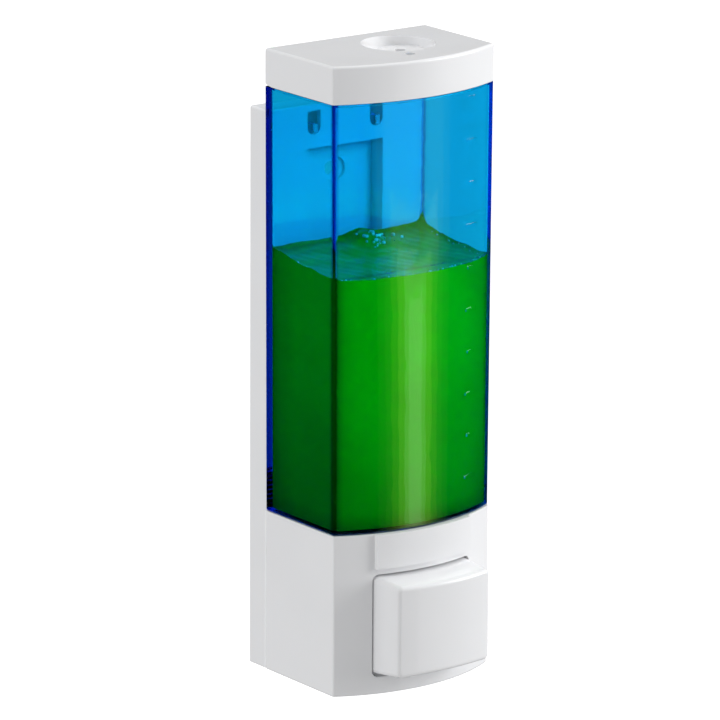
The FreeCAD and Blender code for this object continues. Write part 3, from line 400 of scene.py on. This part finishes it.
def soap():
    """Closed body of soap that fills the tank up to its uneven surface."""
    build = bmesh.new()
    top = soap_grid(build, GEL_RIM_Z, lambda x, y: (x, y, gel_height(x, y)))
    low = soap_grid(build, GEL_FOOT_Z, lambda x, y: (x, y, GEL_FOOT_Z))
    for grid, way in ((top, 1), (low, -1)):
        for near, far in zip(grid, grid[1:]):
            for column in range(COLUMNS):
                after = column + 1
                build.faces.new((near[column], near[after], far[after], far[column])[::way])
    high_rim, low_rim = rim(top), rim(low)
    for step, corner in enumerate(low_rim):
        after = (step + 1) % len(low_rim)
        build.faces.new((corner, low_rim[after], high_rim[after], high_rim[step]))
    body = new_piece("soap", build, green_gel("soap_green", rough=0.12, specular=0.1))
    for face in body.data.polygons:
        face.use_smooth = abs(face.normal.z) > LEVEL
    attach(body, "dispenser")
    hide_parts("soap_gel")


def bubbles():
    """Small bubbles on the soap, in a cluster and strung along the walls."""
    rng = random.Random(SEED)
    places = []
    for _ in range(CLUSTER_BUBBLES):
        x, y = rng.gauss(*CLUSTER_X), rng.gauss(*CLUSTER_Y)
        places.append((x, y, rng.uniform(*CLUSTER_RADII)))
    for _ in range(FRONT_BUBBLES):
        x = rng.uniform(*FRONT_XS)
        y = front_y(BUBBLE_LEVEL_Z, x) + rng.uniform(*FRONT_GAPS)
        places.append((x, y, rng.uniform(*WALL_RADII)))
    for _ in range(SIDE_BUBBLES):
        x = rng.choice((-1, 1)) * rng.uniform(*SIDE_XS)
        places.append((x, rng.uniform(*SIDE_YS), rng.uniform(*WALL_RADII)))
    build = bmesh.new()
    for x, y, radius in places:
        y = min(y, BUBBLE_BACK_Y)
        spot = Matrix.Translation((x, y, gel_height(x, y) + radius * BUBBLE_RISE))
        bmesh.ops.create_icosphere(build, subdivisions=2, radius=radius, matrix=spot)
    body = new_piece("bubbles", build, foam())
    for face in body.data.polygons:
        face.use_smooth = True
    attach(body, "dispenser")


# ---- return spring ------------------------------------------------------------------------------
WIRE_R = 0.0004
WIRE_SIDES = 10
SPRING_TURNS = 5
STEPS_PER_TURN = 36


def spring():
    """Coil between the pump's end cap and the button, built once in the CAD spring's box; the real spring
    closes up as the button goes in.
    """
    low, high = (Vector(corner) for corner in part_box("return_spring"))
    centre = (low + high) / 2
    radius = (high.x - low.x) / 2 - WIRE_R
    start, end = high.y - WIRE_R, low.y + WIRE_R
    build = bmesh.new()
    steps = SPRING_TURNS * STEPS_PER_TURN
    rings = []
    for step in range(steps + 1):
        angle = math.tau * step / STEPS_PER_TURN
        out = Vector((math.cos(angle), 0, math.sin(angle)))
        middle = Vector((centre.x, start + (end - start) * step / steps, centre.z)) + out * radius
        ring = []
        for side in range(WIRE_SIDES):
            turn = math.tau * side / WIRE_SIDES
            offset = out * math.cos(turn) + Vector((0, 1, 0)) * math.sin(turn)
            ring.append(build.verts.new(middle + offset * WIRE_R))
        rings.append(ring)
    for one, two in zip(rings, rings[1:]):
        for side in range(WIRE_SIDES):
            after = (side + 1) % WIRE_SIDES
            build.faces.new((one[side], one[after], two[after], two[side]))
    build.faces.new(rings[0][::-1])
    build.faces.new(rings[-1])
    bmesh.ops.recalc_face_normals(build, faces=build.faces)
    body = new_piece("spring_coil", build, frame["nodes"]["return_spring"].data.materials[0])
    for face in body.data.polygons:
        face.use_smooth = len(face.vertices) == 4
    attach(body, "dispenser")
    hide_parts("return_spring")
    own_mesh(body)


# ---- CAD nodes ----------------------------------------------------------------------------------
def dress_nodes():
    """Gives every CAD node its material."""
    abs_white = white_plastic("white_abs", (0.84, 0.845, 0.86), 0.2)
    acetal = white_plastic("acetal", (0.78, 0.79, 0.8), 0.35)
    black = rubber("seal_rubber", (0.02, 0.02, 0.02), 0.6)
    milky = rubber("silicone", (0.7, 0.7, 0.68), 0.45)
    finishes = {"white_abs": abs_white, "clear_blue": clear_blue(),
                "green_soap": green_gel("green_soap", 0.3, 0.1), "seal_rubber": black,
                "silicone": milky, "pump_plastic": acetal, "steel": steel()}
    for part in frame["record"]["subparts"]:
        mesh = frame["nodes"][part["node"]].data
        mesh.materials.clear()
        mesh.materials.append(finishes[part["material_slot"]])


# ---- stage --------------------------------------------------------------------------------------
CAMERA_AZIMUTH = math.radians(36.99)
CAMERA_ELEVATION = math.radians(14.95)
CAMERA_ROLL = math.radians(0.366)
CAMERA_DISTANCE = 1.8765
CAMERA_LENS = 287.8
AIM = Vector((-0.00893, -0.030, 0.00182))
LAMP_AIM = Vector((0, -0.04, 0))
LAMP_DISTANCE = 1.3
STRIP_AZIMUTH, STRIP_ELEVATION = 29, -15
STRIP_STEP = 0.01                # each strip stands this much further back than the one before
# width, height, radiance and colour of the nested strips, whose reflection fades out at its sides
STRIP = ((0.2, 0.13, 1.0, (0.65, 1.0, 0.55)), (0.32, 0.15, 1.0, (0.65, 1.0, 0.45)),
         (0.5, 0.17, 1.0, (0.6, 1.0, 0.1)), (0.7, 0.22, 0.7, (0.5, 1.0, 0.05)),
         (0.9, 0.5, 0.3, (0.4, 1.0, 0.1)), (1.15, 0.5, 0.25, (0.3, 1.0, 0.1)))
# name, azimuth, elevation, distance, size, power and what the light reaches
FILLS = (("fill_high", 0, 38, LAMP_DISTANCE, (1.6, 0.5), 26, "tank"),
         ("fill_low", 0, -42, LAMP_DISTANCE, (1.6, 0.5), 26, "tank"),
         ("fill_plate", 20, 42, 0.3, (0.12, 0.12), 0.58, "plate"))
FLOOR_DROP = 1.0
FLOOR_SIZE = 40
BOUNCES, GLOSSY_BOUNCES = 48, 40     # light crosses many clear walls


def make_camera():
    """Long lens from the front left, a little above."""
    across = math.cos(CAMERA_ELEVATION)
    forward = Vector((math.sin(CAMERA_AZIMUTH) * across, math.cos(CAMERA_AZIMUTH) * across,
                      -math.sin(CAMERA_ELEVATION)))
    data = bpy.data.cameras.new("camera")
    data.lens = CAMERA_LENS
    data.sensor_width = 36.0
    data.clip_start = 0.01
    data.clip_end = 100.0
    camera = bpy.data.objects.new("camera", data)
    bpy.context.collection.objects.link(camera)
    turn = forward.to_track_quat("-Z", "Y").to_matrix().to_4x4()
    camera.matrix_world = (Matrix.Translation(AIM - forward * CAMERA_DISTANCE) @ turn
                           @ Matrix.Rotation(CAMERA_ROLL, 4, "Z"))
    bpy.context.scene.camera = camera


def softbox(name, azimuth, elevation, distance, size, power, colour=(1, 1, 1)):
    """Rectangular area light that faces the tank, its place given as seen from there."""
    data = bpy.data.lights.new(name, "AREA")
    data.shape = "RECTANGLE"
    data.size, data.size_y = size
    data.energy = power
    data.color = colour
    lamp = bpy.data.objects.new(name, data)
    bpy.context.collection.objects.link(lamp)
    side, rise = math.radians(azimuth), math.radians(elevation)
    away = Vector((math.sin(side) * math.cos(rise), -math.cos(side) * math.cos(rise), math.sin(rise)))
    lamp.location = LAMP_AIM + away * distance
    lamp.rotation_euler = (-away).to_track_quat("-Z", "Y").to_euler()
    return lamp


def light_group(name, nodes):
    """Collection of CAD nodes that a linked light reaches."""
    group = bpy.data.collections.new(name)
    for node in nodes:
        group.objects.link(frame["nodes"][node])
    return group


def make_floor():
    """Wide pale floor, well below the wall piece."""
    bpy.ops.mesh.primitive_plane_add(size=FLOOR_SIZE, location=(0, 0, LOW.z - FLOOR_DROP))
    floor = bpy.context.object
    floor.name = "floor"
    floor.visible_glossy = floor.visible_diffuse = floor.visible_transmission = False
    material, tree, out = new_material("floor")
    shader = add(tree, "ShaderNodeBsdfPrincipled", Roughness=0.9)
    shader.inputs["Base Color"].default_value = (0.9, 0.9, 0.9, 1)
    shader.inputs["Emission Color"].default_value = (1, 1, 1, 1)
    shader.inputs["Emission Strength"].default_value = 0.3
    link(tree, shader, "BSDF", out, "Surface")
    floor.data.materials.append(material)


def make_world():
    """Soft white surroundings, dimmer towards the front so that forms read."""
    world = bpy.data.worlds.new("studio")
    world.use_nodes = True
    world.cycles_visibility.glossy = False
    tree = world.node_tree
    tree.nodes["Background"].inputs["Color"].default_value = (1, 1, 1, 1)
    coords = add(tree, "ShaderNodeTexCoord")
    split = axes(tree, coords, "Generated")
    to_back = stretch(tree, split, "Y", (-1.0, -0.4, 0.0, 0.5, 0.8, 1.0), (0.14, 1.0, 1.52, 1.2, 0.72, 0.66))
    rise = stretch(tree, split, "Z", (-1.0, -0.05, 0.05, 1.0), (0.85, 0.92, 0.94, 0.97))
    level = combine(tree, "MULTIPLY", to_back, rise)
    link(tree, level, "Value", tree.nodes["Background"], "Strength")
    bpy.context.scene.world = world


def make_stage():
    """Floor, surroundings, a broad key from the right, the tank's strips and the linked fills."""
    make_floor()
    make_world()
    softbox("key", 55, 14, LAMP_DISTANCE, (0.8, 0.8), 13)
    behind_tank = light_group("lit_behind_tank", ("wall_plate",))
    clear_parts = light_group("lit_tank", ("tank",))
    for step, (width, height, radiance, colour) in enumerate(STRIP):
        power = radiance * math.pi * width * height
        distance = LAMP_DISTANCE + step * STRIP_STEP
        size = (width, height)
        strip = softbox(f"strip_{step}", STRIP_AZIMUTH, STRIP_ELEVATION, distance, size, power, colour)
        strip.light_linking.receiver_collection = clear_parts
    for name, azimuth, elevation, distance, size, power, group in FILLS:
        fill = softbox(name, azimuth, elevation, distance, size, power)
        fill.visible_glossy = False
        fill.light_linking.receiver_collection = behind_tank if group == "plate" else clear_parts
        if group == "plate":
            fill.light_linking.blocker_collection = behind_tank
    scene = bpy.context.scene
    scene.view_settings.view_transform = "Standard"
    scene.cycles.max_bounces = BOUNCES
    scene.cycles.transmission_bounces = BOUNCES
    scene.cycles.glossy_bounces = GLOSSY_BOUNCES


dress_nodes()
soap()
bubbles()
spring()
make_camera()
make_stage()
